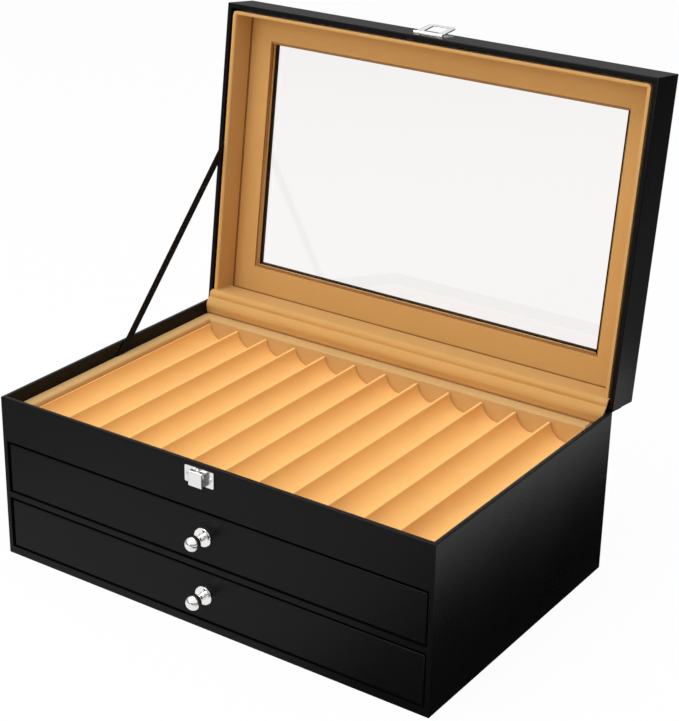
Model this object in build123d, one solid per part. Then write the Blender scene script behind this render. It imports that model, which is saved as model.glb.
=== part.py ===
from build123d import *
import os

# Pen collector chest: a leather-covered case with a trough tray under a glazed,
# hinged lid, and two drawers below it, each with a trough insert of its own.
# Millimetres. X to the right, Y to the back, Z up. The origin is the centre of
# the case's underside. The lid is drawn closed and then swung open.

# Case
case_width = 320.0
case_depth = 209.0
wall = 3.2              # covered board of the outer walls
base_board = 5.3
divider_board = 3.7     # between the two drawers
tray_board = 3.0        # floor of the top compartment
drawer_opening = 36.0   # clear height of each drawer bay
fascia_height = 30.0    # front wall of the top compartment
edge_bevel = 0.6        # leather turned over the boards' outer edges
seam = 0.05             # glue line between boards

# Lid
lid_height = 28.0
lid_open_angle = 97.0   # degrees from closed, where the stay ribbon is taut
rim_gap = 0.2           # leather rims of case and lid apart when closed
frame_board = 2.0       # outer window frame
frame_margin = 26.7     # outer edge to the frame's opening
hinge_rail_extra = 1.4  # frame and lined board wider along the hinge
glass_thick = 1.8
glass_overlap = 7.0     # glass hidden behind the frame all round
window_board = 3.8      # lined board inside the glass
window_margin = 24.2    # outer edge to the lined board's opening
window_step = 0.6       # chamfer round the lined board's opening
window_lip = 1.5        # lower step inside the opening
window_lip_drop = 1.9   # board's face down to the lower step
lid_liner_offset = 4.8  # outer edge to the outside of the lid's liner strips
lid_liner = 2.5
lid_liner_round = 0.8
lid_liner_drop = 0.4    # liner strips end this far inside the lid's rim

# Top tray
side_ledge = 8.6        # lined ledge along the left and right walls
end_ledge = 9.9         # lined ledge along the front and back walls
ledge_drop = 8.7        # rim of the case down to the ledges
ledge_round = 1.2
ridge_drop = 3.3        # ledges down to the tray's ridges
trough_count = 12
trough_pitch = 24.7
trough_depth = 11.1
ridge_flat = 1.2        # width of a ridge's crest
tray_clear = 0.1        # insert to ledges

# Drawers
front_recess = 0.8      # drawer fronts behind the case's front
front_side_gap = 1.5
front_top_gap = 1.2
front_bottom_gap = 0.8
front_board = 5.0
front_edge = 0.6        # bevel round the drawer front
box_side_gap = 2.0      # drawer box to the bay's walls
box_slide_gap = 0.3     # drawer box above the bay's floor
box_height = 30.5
box_board = 3.0
box_bottom = 2.5
box_back_gap = 0.5      # drawer box to the case's back when shut
insert_seat = 3.9       # drawer insert below its troughs
box_ledge = 6.0         # plain land before and behind the drawer's troughs

# Knobs
knob_flange_radius = 6.7
knob_flange_thick = 1.5
knob_neck_radius = 2.3
knob_ball_radius = 5.1
knob_reach = 10.1       # drawer front to the middle of the ball
knob_screw_radius = 1.5
knob_screw_grip = 3.2   # thread inside the knob
knob_bore_spare = 0.6   # bore past the thread's end
screw_clear = 0.1
knob_screw_head = 3.0
knob_screw_head_thick = 1.6
screw_head_room = 0.7   # screw's head to the drawer's insert

# Latch
latch_shift = -1.5      # latch's middle from the middle of the case
strike_width = 21.5
strike_height = 10.8
strike_thick = 0.8
strike_drop = 2.6       # rim of the case down to the strike plate
catch_width = 10.4
catch_height = 9.9
catch_reach = 4.1       # raised box of the strike, in front of its plate
catch_bevel = 0.5
catch_ear_radius = 1.4
catch_ear_height = 1.3
latch_screw_radius = 1.2
latch_screw_head = 0.25    # low head on its plate
latch_screw_offset = 8.2
latch_screw_shank = 0.7
latch_screw_length = 2.6
hasp_width = 21.0
hasp_plate_start = 3.6  # lid's rim up to the hasp's plate
hasp_plate_length = 14.6
hasp_thick = 0.8
hasp_axis_rise = 1.9    # lid's rim up to the hasp's pin
hasp_axis_reach = 1.75  # lid's front out to the hasp's pin
hasp_ear_gap = 0.1      # plate's ears to the leather
barrel_radius = 1.25
hasp_pin_radius = 0.6
hasp_pin_clear = 0.05
knuckle_width = 4.0
knuckle_gap = 0.3
flap_width = 20.0
flap_length = 18.6
flap_rest_angle = 12.0  # flap lifted off its plate, degrees
flap_round = 2.0
window_clear = 0.5      # flap's window to the raised box
flap_top_bar = 3.4      # hasp's pin to the flap's window

# Lining over the hinge, and the stay ribbon
lining_thick = 1.6         # at the ledge
lining_lid_thick = 1.0     # at the lid's liner
lining_ribs = 3
lining_rib_bulge = 1.1
lining_clear = 0.3
hinge_strip = 0.7       # leather strip over the back joint
hinge_strip_reach = 14.0
ribbon_width = 6.0
ribbon_thick = 0.8
ribbon_wall_gap = 0.3
ribbon_case_back = 110.0   # front of the case to the ribbon's lower end
ribbon_lid_back = 99.7     # front of the lid to the ribbon's upper end
ribbon_tuck = 7.0          # ribbon hidden behind the liners at each end
ribbon_slot_clear = 0.3

case_height = base_board + 2 * drawer_opening + divider_board + fascia_height
half_width = case_width / 2
front_y = -case_depth / 2
back_y = case_depth / 2
inner_x = half_width - wall
inner_front = front_y + wall
inner_back = back_y - wall
lower_bay = base_board
upper_bay = base_board + drawer_opening + divider_board
tray_base = upper_bay + drawer_opening
ledge_top = case_height - ledge_drop
ridge_top = ledge_top - ridge_drop
lid_rim = case_height + rim_gap
lid_top = case_height + lid_height
hinge_axis = Axis((0, back_y, case_height), (1, 0, 0))
strike_z = case_height - strike_drop - strike_height / 2
hasp_plate_z = case_height + hasp_plate_start + hasp_plate_length / 2
hasp_axis_z = case_height + hasp_axis_rise
hasp_axis_y = front_y - hasp_axis_reach


def block(x0, x1, y0, y1, z0, z1):
    box = Box(x1 - x0, y1 - y0, z1 - z0)
    return Pos((x0 + x1) / 2, (y0 + y1) / 2, (z0 + z1) / 2) * box


def edges_at(solid, *places):
    """The edges that lie in every given plane, each plane as an axis and a place along it."""
    found = solid.edges()
    for axis, place in places:
        found = found.filter_by_position(axis, place - 0.01, place + 0.01)
    return found


def bevelled(board, *edges):
    """Bevels the covered board's outer edges, each given by the two planes that meet there."""
    wanted = [edge for planes in edges for edge in edges_at(board, *planes)]
    return chamfer(wanted, edge_bevel)


def rounded(strip, *planes, radius):
    return fillet(edges_at(strip, *planes), radius)


def opened(solid):
    return solid.rotate(hinge_axis, -lid_open_angle)


def write(name, *solids):
    shape = Compound(children=list(solids)) if len(solids) > 1 else solids[0]
    export_step(shape, f"parts/{name}.step")


def latch_pair(solid, plate_face, z):
    """The solid on both sides of the latch's middle."""
    return [Pos(latch_shift + side * latch_screw_offset, plate_face, z) * solid
            for side in (-1, 1)]


def screw_holes(plate_face, z):
    hole = Cylinder(latch_screw_shank + seam, latch_screw_length + seam, rotation=(90, 0, 0))
    return latch_pair(Pos(0, (latch_screw_length + seam) / 2, 0) * hole, plate_face, z)


def latch_screws(plate_face, z):
    shank = Pos(0, latch_screw_length / 2, 0) * Cylinder(
        latch_screw_shank, latch_screw_length, rotation=(90, 0, 0))
    head = Pos(0, -latch_screw_head / 2, 0) * Cylinder(
        latch_screw_radius, latch_screw_head, rotation=(90, 0, 0))
    return latch_pair(shank + head, plate_face, z)


def case_boards():
    base = block(-inner_x + seam, inner_x - seam, front_y, inner_back - seam, 0, base_board)
    write("base_panel", bevelled(base, ((Axis.Y, front_y), (Axis.Z, 0))))
    for side, name in ((-1, "side_panel_left"), (1, "side_panel_right")):
        x_low, x_high = sorted((side * inner_x, side * half_width))
        panel = block(x_low, x_high, front_y, back_y, 0, case_height)
        outer = side * half_width
        panel = bevelled(panel, ((Axis.X, outer), (Axis.Y, front_y)),
                         ((Axis.X, outer), (Axis.Y, back_y)),
                         ((Axis.X, outer), (Axis.Z, case_height)), ((Axis.X, outer), (Axis.Z, 0)))
        write(name, panel)
    back = block(-inner_x + seam, inner_x - seam, inner_back, back_y, 0, case_height)
    write("back_panel", bevelled(back, ((Axis.Y, back_y), (Axis.Z, case_height))))
    fascia = block(-inner_x + seam, inner_x - seam, front_y, inner_front, tray_base, case_height)
    fascia = bevelled(fascia, ((Axis.Y, front_y), (Axis.Z, case_height)))
    write("front_fascia", fascia - screw_holes(front_y - strike_thick, strike_z))
    shelf = block(-inner_x + seam, inner_x - seam, front_y, inner_back - seam,
                  upper_bay - divider_board, upper_bay)
    write("drawer_divider", shelf)
    floor = block(-inner_x + seam, inner_x - seam, inner_front + seam, inner_back - seam,
                  tray_base, tray_base + tray_board)
    write("tray_floor", floor)


def trough_insert(width, y0, y1, z0, ridge_z):
    """A block with round-bottomed pen troughs along Y, side by side in X."""
    body = block(-width / 2, width / 2, y0, y1, z0, ridge_z)
    half_chord = (trough_pitch - ridge_flat) / 2
    radius = (half_chord ** 2 + trough_depth ** 2) / (2 * trough_depth)
    centre_z = ridge_z - trough_depth + radius
    for index in range(trough_count):
        x = (index - (trough_count - 1) / 2) * trough_pitch
        gutter = Cylinder(radius, y1 - y0 + 2, rotation=(90, 0, 0))
        body -= Pos(x, (y0 + y1) / 2, centre_z) * gutter
        if centre_z < ridge_z:
            body -= block(x - half_chord, x + half_chord, y0 - 1, y1 + 1, centre_z, ridge_z + 1)
    return body


def stay_ribbon(thick=ribbon_thick, width=ribbon_width, tuck=ribbon_tuck):
    """Taut strip from the left wall of the case up to the left wall of the lid."""
    low = Vector(0, front_y + ribbon_case_back, ledge_top)
    pivot = Vector(0, back_y, case_height)
    high_closed = Vector(0, front_y + ribbon_lid_back, lid_rim)
    high = (high_closed - pivot).rotate(Axis.X, -lid_open_angle) + pivot
    along = (high - low).normalized()
    start = low - along * tuck
    length = (high - low).length + 2 * tuck
    centre_x = -inner_x + ribbon_wall_gap + ribbon_thick / 2
    middle = start + along * (length / 2)
    plane = Plane(origin=(centre_x, middle.Y, middle.Z), x_dir=(1, 0, 0), z_dir=along)
    return plane * Box(thick, width, length)


def tray_lining():
    z0 = tray_base + tray_board + seam
    side_in = inner_x - side_ledge
    front_in = inner_front + end_ledge
    back_in = inner_back - end_ledge
    slot = stay_ribbon(ribbon_thick + 2 * ribbon_wall_gap + 2 * seam,
                       ribbon_width + 2 * ribbon_slot_clear, ribbon_tuck + ribbon_slot_clear)
    for side, name in ((-1, "tray_liner_left"), (1, "tray_liner_right")):
        x_low, x_high = sorted((side * side_in, side * (inner_x - seam)))
        strip = block(x_low, x_high, inner_front + seam, inner_back - seam, z0, ledge_top)
        strip = rounded(strip, (Axis.X, side * side_in), (Axis.Z, ledge_top), radius=ledge_round)
        write(name, strip - slot)
    cross = side_in - seam
    front = block(-cross, cross, inner_front + seam, front_in, z0, ledge_top)
    write("tray_liner_front",
          rounded(front, (Axis.Y, front_in), (Axis.Z, ledge_top), radius=ledge_round))
    back = block(-cross, cross, back_in, inner_back - seam, z0, ledge_top)
    write("tray_liner_back",
          rounded(back, (Axis.Y, back_in), (Axis.Z, ledge_top), radius=ledge_round))
    write("tray_insert", trough_insert(2 * (side_in - tray_clear), front_in + tray_clear,
                                       back_in - tray_clear, z0, ridge_top))


def knob(front_face, z):
    """Flange, waist and ball turned about Y, with a blind hole for its screw."""
    ball_y = -knob_reach
    touch = (knob_ball_radius ** 2 - knob_neck_radius ** 2) ** 0.5
    outline = Polyline((ball_y - knob_ball_radius, 0), (0, 0), (0, knob_flange_radius),
                       (-knob_flange_thick, knob_flange_radius),
                       (-knob_flange_thick, knob_neck_radius), (ball_y + touch, knob_neck_radius))
    ball = ThreePointArc((ball_y + touch, knob_neck_radius), (ball_y, knob_ball_radius),
                         (ball_y - knob_ball_radius, 0))
    profile = make_face(Curve() + [outline, ball])
    profile = Plane(origin=(0, 0, 0), x_dir=(0, 1, 0), z_dir=(1, 0, 0)) * profile
    turned = revolve(profile, Axis.Y, 360)
    depth = knob_screw_grip + knob_bore_spare
    bore = Cylinder(knob_screw_radius + screw_clear, depth, rotation=(90, 0, 0))
    return Pos(0, front_face, z) * (turned - Pos(0, -depth / 2, 0) * bore)


def knob_screw(front_face, z):
    inside = front_face + front_board
    length = front_board + knob_screw_grip
    shank = Pos(0, inside - length / 2, z) * Cylinder(knob_screw_radius, length,
                                                      rotation=(90, 0, 0))
    head = Pos(0, inside + knob_screw_head_thick / 2, z) * Cylinder(
        knob_screw_head, knob_screw_head_thick, rotation=(90, 0, 0))
    return shank + head


def drawer(level, bay_z):
    front_face = front_y + front_recess
    front_x = inner_x - front_side_gap
    z0 = bay_z + front_bottom_gap
    z1 = bay_z + drawer_opening - front_top_gap
    knob_z = bay_z + drawer_opening / 2
    board = block(-front_x, front_x, front_face, front_face + front_board, z0, z1)
    board = chamfer(edges_at(board, (Axis.Y, front_face)), front_edge)
    hole = Cylinder(knob_screw_radius + screw_clear, 3 * front_board, rotation=(90, 0, 0))
    write(f"{level}_drawer_front", board - Pos(0, front_face, knob_z) * hole)

    box_x = inner_x - box_side_gap
    low = bay_z + box_slide_gap
    high = low + box_height
    start = front_face + front_board + seam
    end = inner_back - box_back_gap
    for side, name in ((-1, "left"), (1, "right")):
        x_low, x_high = sorted((side * box_x, side * (box_x - box_board)))
        panel = block(x_low, x_high, start, end, low, high)
        write(f"{level}_drawer_side_{name}", panel)
    inside_x = box_x - box_board - seam
    write(f"{level}_drawer_back",
          block(-inside_x, inside_x, end - box_board, end, low, high))
    write(f"{level}_drawer_bottom",
          block(-inside_x, inside_x, start, end - box_board - seam, low, low + box_bottom))
    insert_z = low + box_bottom + seam
    insert_start = front_face + front_board + knob_screw_head_thick + screw_head_room
    insert_end = end - box_board - 2 * seam
    insert = trough_insert(2 * (inside_x - seam), insert_start + box_ledge,
                           insert_end - box_ledge, insert_z,
                           insert_z + insert_seat + trough_depth)
    lands = [block(-inside_x + seam, inside_x - seam, y0, y1, insert_z,
                   insert_z + insert_seat + trough_depth)
             for y0, y1 in ((insert_start, insert_start + box_ledge),
                            (insert_end - box_ledge, insert_end))]
    write(f"{level}_drawer_insert", insert + lands[0] + lands[1])
    write(f"{level}_knob", knob(front_face, knob_z))
    write(f"{level}_knob_screw", knob_screw(front_face, knob_z))


def lid_boards():
    frame_z = lid_top - frame_board
    z0 = lid_rim
    frame = block(-half_width, half_width, front_y, back_y, frame_z, lid_top)
    frame = chamfer(edges_at(frame, (Axis.Z, lid_top)), edge_bevel)
    sight_x = half_width - frame_margin
    sight_y = back_y - frame_margin
    sight_back = sight_y - hinge_rail_extra
    frame -= block(-sight_x, sight_x, -sight_y, sight_back, frame_z - 1, lid_top + 1)
    write("lid_frame", opened(frame))
    for side, name in ((-1, "left"), (1, "right")):
        x_low, x_high = sorted((side * inner_x, side * half_width))
        outer = side * half_width
        panel = block(x_low, x_high, front_y, back_y, z0, frame_z - seam)
        panel = bevelled(panel, ((Axis.X, outer), (Axis.Y, front_y)),
                         ((Axis.X, outer), (Axis.Y, back_y)))
        write(f"lid_wall_{name}", opened(panel))
    reach = inner_x - seam
    front = block(-reach, reach, front_y, inner_front, z0, frame_z - seam)
    write("lid_wall_front", opened(front - screw_holes(front_y - hasp_thick, hasp_plate_z)))
    back = block(-reach, reach, inner_back, back_y, z0, frame_z - seam)
    write("lid_wall_back", opened(back))

    glass_z = frame_z - glass_thick - seam
    glass_x = sight_x + glass_overlap
    glass_y = sight_y + glass_overlap
    glass_back = sight_back + glass_overlap
    glass = block(-glass_x, glass_x, -glass_y, glass_back, glass_z, glass_z + glass_thick)
    write("lid_glass", opened(glass))

    board_z = glass_z - seam - window_board
    board = block(-inner_x + seam, inner_x - seam, inner_front + seam, inner_back - seam,
                  board_z, board_z + window_board)
    open_x = half_width - window_margin
    open_y = back_y - window_margin
    for lip, deep in ((0, window_lip_drop), (window_lip, window_board + 1)):
        board -= block(lip - open_x, open_x - lip, lip - open_y,
                       open_y - hinge_rail_extra - lip, board_z - 1, board_z + deep)
    step = edges_at(board, (Axis.Z, board_z))
    step = step.filter_by_position(Axis.X, -open_x - 0.01, open_x + 0.01)
    step = step.filter_by_position(Axis.Y, -open_y - 0.01, open_y + 0.01)
    write("lid_window_board", opened(chamfer(step, window_step)))

    outer_x = half_width - lid_liner_offset
    outer_y = back_y - lid_liner_offset
    liner_low = z0 + lid_liner_drop
    liner_high = board_z - seam
    for side, name in ((-1, "left"), (1, "right")):
        x_low, x_high = sorted((side * outer_x, side * (outer_x - lid_liner)))
        strip = block(x_low, x_high, -outer_y, outer_y, liner_low, liner_high)
        strip = rounded(strip, (Axis.X, side * (outer_x - lid_liner)), (Axis.Z, liner_low),
                        radius=lid_liner_round)
        write(f"lid_liner_{name}", opened(strip))
    cross = outer_x - lid_liner - seam
    for side, name in ((-1, "front"), (1, "back")):
        y_low, y_high = sorted((side * outer_y, side * (outer_y - lid_liner)))
        strip = block(-cross, cross, y_low, y_high, liner_low, liner_high)
        strip = rounded(strip, (Axis.Y, side * (outer_y - lid_liner)), (Axis.Z, liner_low),
                        radius=lid_liner_round)
        write(f"lid_liner_{name}", opened(strip))


def strike():
    """Plate on the case's front with a raised box and a small ear on the box's top."""
    half = strike_width / 2
    z0 = strike_z - strike_height / 2
    plate = block(-half, half, front_y - strike_thick, front_y, z0, z0 + strike_height)
    plate = fillet(plate.edges().filter_by(Axis.Y), strike_thick)
    box = block(-catch_width / 2, catch_width / 2, front_y - strike_thick - catch_reach,
                front_y - strike_thick / 2, z0, z0 + catch_height)
    box_face = front_y - strike_thick - catch_reach
    box = chamfer(edges_at(box, (Axis.Y, box_face)), catch_bevel)
    ear_y = front_y - strike_thick - catch_ear_radius
    ear = Pos(0, ear_y, z0 + catch_height + (catch_ear_height - catch_bevel) / 2) * Cylinder(
        catch_ear_radius, catch_ear_height + catch_bevel)
    latch = Pos(latch_shift, 0, 0) * (plate + box + ear)
    plate_face = front_y - strike_thick
    write("strike_plate", latch - screw_holes(plate_face, strike_z))
    write("strike_screws", *latch_screws(plate_face, strike_z))


def barrel(x0, x1, radius):
    """A rod along the hasp's axis."""
    rod = Cylinder(radius, x1 - x0, rotation=(0, 90, 0))
    return Pos((x0 + x1) / 2, hasp_axis_y, hasp_axis_z) * rod


def hasp():
    """Plate on the lid's front, and a windowed flap hung on a pin through its knuckles."""
    half = hasp_width / 2
    plate_y = front_y - hasp_thick
    bore = hasp_pin_radius + hasp_pin_clear
    plate = block(-half, half, plate_y, front_y, hasp_plate_z - hasp_plate_length / 2,
                  hasp_plate_z + hasp_plate_length / 2)
    high = plate.edges().filter_by(Axis.Y).filter_by_position(
        Axis.Z, hasp_plate_z, hasp_plate_z + hasp_plate_length)
    plate = fillet(high, flap_round)
    for side in (-1, 1):
        x0, x1 = sorted((side * (half - knuckle_width), side * half))
        ear = block(x0, x1, plate_y, front_y - hasp_ear_gap, hasp_axis_z, hasp_plate_z)
        plate += ear + barrel(x0, x1, barrel_radius)
    plate = Pos(latch_shift, 0, 0) * (plate - barrel(-half, half, bore))
    write("hasp_plate", opened(plate - screw_holes(plate_y, hasp_plate_z)))
    write("hasp_pin", opened(Pos(latch_shift, 0, 0) * barrel(-half, half, hasp_pin_radius)))
    write("hasp_screws", *[opened(screw) for screw in latch_screws(plate_y, hasp_plate_z)])

    middle = half - knuckle_width - knuckle_gap
    y0, y1 = hasp_axis_y - hasp_thick / 2, hasp_axis_y + hasp_thick / 2
    start = hasp_axis_z + barrel_radius + knuckle_gap
    leaf = block(-flap_width / 2, flap_width / 2, y0, y1, start, hasp_axis_z + flap_length)
    far = leaf.edges().filter_by(Axis.Y).filter_by_position(
        Axis.Z, start + 1, hasp_axis_z + flap_length + 1)
    leaf = fillet(far, flap_round)
    leaf += block(-middle, middle, y0, y1, hasp_axis_z, start)
    leaf += barrel(-middle, middle, barrel_radius)
    leaf -= barrel(-middle, middle, bore)
    window_x = catch_width / 2 + window_clear
    catch_low = hasp_axis_z - (strike_z - strike_height / 2)
    reach_front = catch_reach + strike_thick - hasp_axis_reach
    window_end = (catch_low ** 2 + reach_front ** 2) ** 0.5 + window_clear
    leaf -= block(-window_x, window_x, y0 - 1, y1 + 1, hasp_axis_z + flap_top_bar,
                  hasp_axis_z + window_end)
    lifted = leaf.rotate(Axis((0, hasp_axis_y, hasp_axis_z), (1, 0, 0)), flap_rest_angle)
    write("hasp_flap", opened(Pos(latch_shift, 0, 0) * lifted))


def hinge_lining():
    """Padded lining from the back ledge up over the joint to the lid's liner, in soft ribs."""
    pivot = Vector(0, back_y, case_height)
    closed_end = Vector(0, back_y - lid_liner_offset - lid_liner / 2, lid_rim + lid_liner_drop)
    end = (closed_end - pivot).rotate(Axis.X, -lid_open_angle) + pivot
    low_z = ledge_top + lining_clear
    rim_z = case_height + lining_clear
    back_face = inner_back - lining_clear
    lid_face = end.Y - lining_clear
    foot_y = back_face - lining_thick
    front = Polyline((foot_y, low_z), (foot_y, rim_z), (lid_face - lining_lid_thick, end.Z))
    points = [front @ (index / lining_ribs) for index in range(lining_ribs + 1)]
    arcs = []
    for low, high in zip(points, points[1:]):
        outward = Vector(low.Y - high.Y, high.X - low.X).normalized() * lining_rib_bulge
        arcs.append(ThreePointArc(low, (low + high) / 2 + outward, high))
    rest = Polyline(points[-1], (lid_face, end.Z), (back_face, rim_z), (back_face, low_z),
                    points[0])
    cross = inner_x - lining_clear
    side = Plane(origin=(-cross, 0, 0), x_dir=(0, 1, 0), z_dir=(1, 0, 0))
    write("hinge_lining", extrude(side * make_face(Curve() + arcs + [rest]), 2 * cross))


def hinge_leather():
    """Leather strip folded into the corner between the case's back and the lid's back wall."""
    lid_angle = 90 - lid_open_angle
    face_y = back_y + seam
    face_z = case_height - seam
    along = Vector(1, 0, 0).rotate(Axis.Z, lid_angle)
    below = along.rotate(Axis.Z, -90)
    rim = Vector(face_y, face_z)
    lid_end = rim + along * hinge_strip_reach
    inner_y = face_y + hinge_strip
    under = lid_end + below * hinge_strip
    fold = under - along * ((under.X - inner_y) / along.X)
    outline = Polyline((face_y, face_z - hinge_strip_reach), (face_y, face_z),
                       (lid_end.X, lid_end.Y), (under.X, under.Y), (fold.X, fold.Y),
                       (inner_y, face_z - hinge_strip_reach), close=True)
    reach = half_width - edge_bevel
    side = Plane(origin=(-reach, 0, 0), x_dir=(0, 1, 0), z_dir=(1, 0, 0))
    write("hinge_leather", extrude(side * make_face(outline), 2 * reach))


os.makedirs("parts", exist_ok=True)
case_boards()
tray_lining()
strike()
lid_boards()
hasp()
hinge_lining()
hinge_leather()
write("stay_ribbon", stay_ribbon())
drawer("upper", upper_bay)
drawer("lower", lower_bay)
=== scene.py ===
import bpy, bmesh, math
from mathutils import Matrix, Vector, noise


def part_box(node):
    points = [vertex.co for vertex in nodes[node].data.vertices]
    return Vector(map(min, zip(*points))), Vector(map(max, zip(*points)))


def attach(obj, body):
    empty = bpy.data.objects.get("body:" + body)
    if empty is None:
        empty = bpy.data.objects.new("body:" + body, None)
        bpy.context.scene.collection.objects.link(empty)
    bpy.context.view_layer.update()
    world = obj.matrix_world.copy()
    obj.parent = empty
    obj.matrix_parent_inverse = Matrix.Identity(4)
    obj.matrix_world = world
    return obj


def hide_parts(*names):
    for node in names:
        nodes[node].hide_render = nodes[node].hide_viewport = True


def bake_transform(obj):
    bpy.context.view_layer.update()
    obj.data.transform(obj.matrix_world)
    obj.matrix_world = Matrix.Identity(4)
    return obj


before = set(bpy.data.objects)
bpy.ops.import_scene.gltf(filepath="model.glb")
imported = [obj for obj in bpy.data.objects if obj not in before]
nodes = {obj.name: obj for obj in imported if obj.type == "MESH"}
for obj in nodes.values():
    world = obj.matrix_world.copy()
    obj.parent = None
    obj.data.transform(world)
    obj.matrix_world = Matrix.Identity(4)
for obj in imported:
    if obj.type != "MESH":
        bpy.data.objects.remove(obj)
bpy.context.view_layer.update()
print("frame loaded with", len(nodes), "nodes")

# Sizes are in millimetres here and become metres when a piece is finished.
# X to the right, Y to the back, Z up, from the centre of the case's underside.

photo = {"width": 679, "height": 721, "focalPixels": 1827.8, "middleX": 339.7, "middleY": 358.4,
         "place": (595.6, -846.9, 591.3), "azimuth": 33.98, "elevation": 23.44, "roll": 1.12}


def makeCamera():
    azimuth, elevation, roll = (math.radians(photo[key])
                                for key in ("azimuth", "elevation", "roll"))
    forward = Vector((-math.sin(azimuth) * math.cos(elevation),
                      math.cos(azimuth) * math.cos(elevation), -math.sin(elevation)))
    right = forward.cross(Vector((0, 0, 1))).normalized()
    up = right.cross(forward)
    rolledRight = right * math.cos(roll) + up * math.sin(roll)
    rolledUp = up * math.cos(roll) - right * math.sin(roll)
    lens = bpy.data.cameras.new("photoCamera")
    lens.sensor_fit = "HORIZONTAL"
    lens.sensor_width = 36
    lens.lens = lens.sensor_width * photo["focalPixels"] / photo["width"]
    lens.shift_x = (photo["width"] / 2 - photo["middleX"]) / photo["width"]
    lens.shift_y = (photo["middleY"] - photo["height"] / 2) / photo["width"]
    lens.clip_start, lens.clip_end = 0.05, 20
    camera = bpy.data.objects.new("photoCamera", lens)
    bpy.context.scene.collection.objects.link(camera)
    turn = Matrix((rolledRight, rolledUp, -forward)).transposed().to_4x4()
    camera.matrix_world = Matrix.Translation(Vector(photo["place"]) * 0.001) @ turn
    bpy.context.scene.camera = camera


makeCamera()
print("camera set")


def newGroup(name, inputs, outputs):
    # inputs and outputs are (name, socket type, default) rows
    tree = bpy.data.node_groups.new(name, "ShaderNodeTree")
    for label, kind, value in inputs:
        socket = tree.interface.new_socket(label, in_out="INPUT", socket_type="NodeSocket" + kind)
        socket.default_value = value
    for label, kind in outputs:
        tree.interface.new_socket(label, in_out="OUTPUT", socket_type="NodeSocket" + kind)
    return tree, tree.nodes.new("NodeGroupInput"), tree.nodes.new("NodeGroupOutput")


def addNode(tree, kind, **settings):
    node = tree.nodes.new("ShaderNode" + kind)
    for key, value in settings.items():
        if key in node.inputs:
            node.inputs[key].default_value = value
        else:
            setattr(node, key, value)
    return node


def mathNode(tree, operation, first, second=None, third=None):
    node = tree.nodes.new("ShaderNodeMath")
    node.operation = operation
    for index, value in enumerate((first, second, third)):
        if value is None:
            continue
        if isinstance(value, (int, float)):
            node.inputs[index].default_value = value
        else:
            tree.links.new(value, node.inputs[index])
    return node.outputs[0]


def mapRange(tree, value, low, high):
    node = tree.nodes.new("ShaderNodeMapRange")
    tree.links.new(value, node.inputs["Value"])
    for label, end in (("To Min", low), ("To Max", high)):
        if isinstance(end, (int, float)):
            node.inputs[label].default_value = end
        else:
            tree.links.new(end, node.inputs[label])
    return node.outputs["Result"]


def shaded(tree, colour, factor):
    # the colour with its value multiplied by a factor that varies over the surface
    node = tree.nodes.new("ShaderNodeHueSaturation")
    tree.links.new(colour, node.inputs["Color"])
    tree.links.new(factor, node.inputs["Value"])
    return node.outputs["Color"]


def noiseValue(tree, place, scale, detail=2.0, roughness=0.5):
    node = addNode(tree, "TexNoise", Detail=detail, Roughness=roughness)
    tree.links.new(place, node.inputs["Vector"])
    if isinstance(scale, (int, float)):
        node.inputs["Scale"].default_value = scale
    else:
        tree.links.new(scale, node.inputs["Scale"])
    return node.outputs["Fac"]


def leatherGrainGroup():
    # pebbled grain of coated leather with broad, faint changes of tone
    tree, given, made = newGroup(
        "leatherGrain",
        [("Colour", "Color", (0.01, 0.01, 0.01, 1)), ("Grain Scale", "Float", 900.0),
         ("Roughness", "Float", 0.45), ("Tone Change", "Float", 0.15)],
        [("Colour", "Color"), ("Roughness", "Float"), ("Height", "Float")])
    place = addNode(tree, "TexCoord").outputs["Object"]
    pebbles = addNode(tree, "TexVoronoi", feature="SMOOTH_F1", Smoothness=0.6)
    tree.links.new(place, pebbles.inputs["Vector"])
    tree.links.new(given.outputs["Grain Scale"], pebbles.inputs["Scale"])
    fineScale = mathNode(tree, "MULTIPLY", given.outputs["Grain Scale"], 2.7)
    fine = noiseValue(tree, place, fineScale, 3.0)
    broad = noiseValue(tree, place, 14.0, 3.0)
    height = mathNode(tree, "MULTIPLY_ADD", fine, 0.35, pebbles.outputs["Distance"])
    tree.links.new(height, made.inputs["Height"])
    low = mathNode(tree, "SUBTRACT", 1.0, given.outputs["Tone Change"])
    high = mathNode(tree, "ADD", 1.0, given.outputs["Tone Change"])
    tree.links.new(shaded(tree, given.outputs["Colour"], mapRange(tree, broad, low, high)),
                   made.inputs["Colour"])
    duller = mathNode(tree, "MULTIPLY_ADD", broad, 0.12, -0.06)
    pits = mathNode(tree, "MULTIPLY_ADD", pebbles.outputs["Distance"], -0.08, duller)
    roughness = mathNode(tree, "ADD", given.outputs["Roughness"], pits)
    tree.links.new(roughness, made.inputs["Roughness"])
    return tree


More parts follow.
